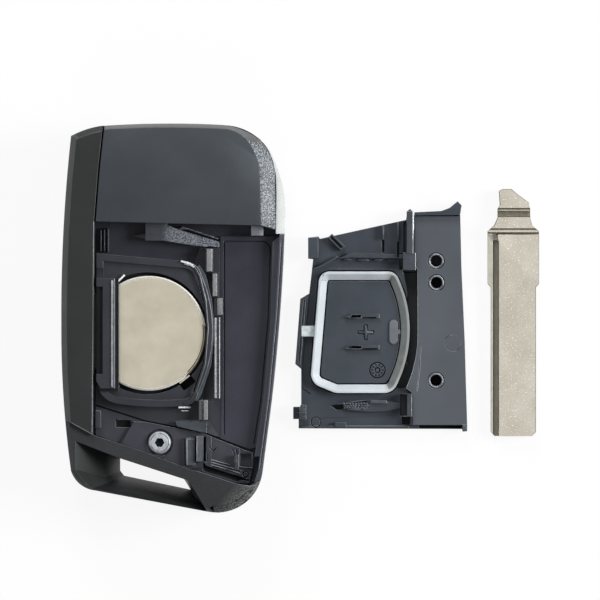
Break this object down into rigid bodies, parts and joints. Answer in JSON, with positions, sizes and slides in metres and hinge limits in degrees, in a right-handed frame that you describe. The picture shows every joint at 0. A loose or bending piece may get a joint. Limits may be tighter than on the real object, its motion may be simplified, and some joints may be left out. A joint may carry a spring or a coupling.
{
  "type": "flip remote key",
  "caption": "Flip car remote lying open: housing with coin cell, screw and key-ring loop, its battery cover taken off, and the loose uncut key blade.",
  "frame": {"origin": "bottom centre of the whole layout, on the table", "axes": "+X to the right and +Y up as seen from above, +Z up from the table"},
  "size_m": [0.0833, 0.0677, 0.0154],
  "materials": {
    "shell_plastic": "fine satin moulded grain",
    "rail_plastic": "smooth satin",
    "head_plastic": "smooth satin, blue-grey",
    "trim_chrome": "bright plated",
    "chassis_plastic": "satin moulded",
    "cell_steel": "nickel plated, satin",
    "contact_metal": "tin plated",
    "screw_steel": "zinc plated",
    "membrane_rubber": "matt",
    "board_laminate": "green solder mask",
    "component_black": "moulded epoxy",
    "hub_metal": "satin zinc casting",
    "spring_steel": "bright spring wire",
    "button_rubber": "soft matt",
    "cover_plastic": "satin moulded, blue-grey",
    "seal_silicone": "matt silicone, light grey",
    "blade_metal": "nickel silver, fine speckle"
  },
  "bodies": {
    "housing": {"front_shell": "shell_plastic", "back_shell": "shell_plastic", "side_rail": "rail_plastic", "head_cover": "head_plastic", "bright_trim": "trim_chrome", "ring_loop": "rail_plastic", "battery_tray": "chassis_plastic", "coin_cell": "cell_steel", "contact_minus": "contact_metal", "contact_plus": "contact_metal", "chassis": "chassis_plastic", "lower_plate": "chassis_plastic", "chassis_screw": "screw_steel", "stop_arm": "chassis_plastic", "keypad_membrane": "membrane_rubber", "circuit_board": "board_laminate", "tact_switches": "component_black", "controller_chip": "component_black", "radio_crystal": "contact_metal", "transponder_coil": "component_black", "flip_spring": "spring_steel", "release_spring": "spring_steel", "battery_cover": "cover_plastic", "cover_seal": "seal_silicone", "vent_pad": "seal_silicone", "key_blade": "blade_metal"},
    "hub": {"flip_hub": "hub_metal"},
    "release": {"release_button": "trim_chrome"},
    "lock": {"lock_button": "button_rubber"},
    "unlock": {"unlock_button": "button_rubber"},
    "boot": {"boot_button": "button_rubber"}
  },
  "joints": [
    {"name": "flip_hinge", "type": "hinge", "parent": "housing", "child": "hub", "pos_m": [-0.0352, 0.0273, 0.00735], "axis": [0, 0, -1], "range_deg": [0, 180], "deforming": ["flip_spring"]},
    {"name": "release_slide", "type": "slide", "parent": "housing", "child": "release", "axis": [0, 0, 1], "range_m": [0, 0.001], "stiffness_N_per_m": 1500, "deforming": ["release_spring"]},
    {"name": "lock_slide", "type": "slide", "parent": "housing", "child": "lock", "axis": [0, 0, 1], "range_m": [0, 0.0004], "stiffness_N_per_m": 2000},
    {"name": "unlock_slide", "type": "slide", "parent": "housing", "child": "unlock", "axis": [0, 0, 1], "range_m": [0, 0.0004], "stiffness_N_per_m": 2000},
    {"name": "boot_slide", "type": "slide", "parent": "housing", "child": "boot", "axis": [0, 0, 1], "range_m": [0, 0.0004], "stiffness_N_per_m": 2000}
  ]
}
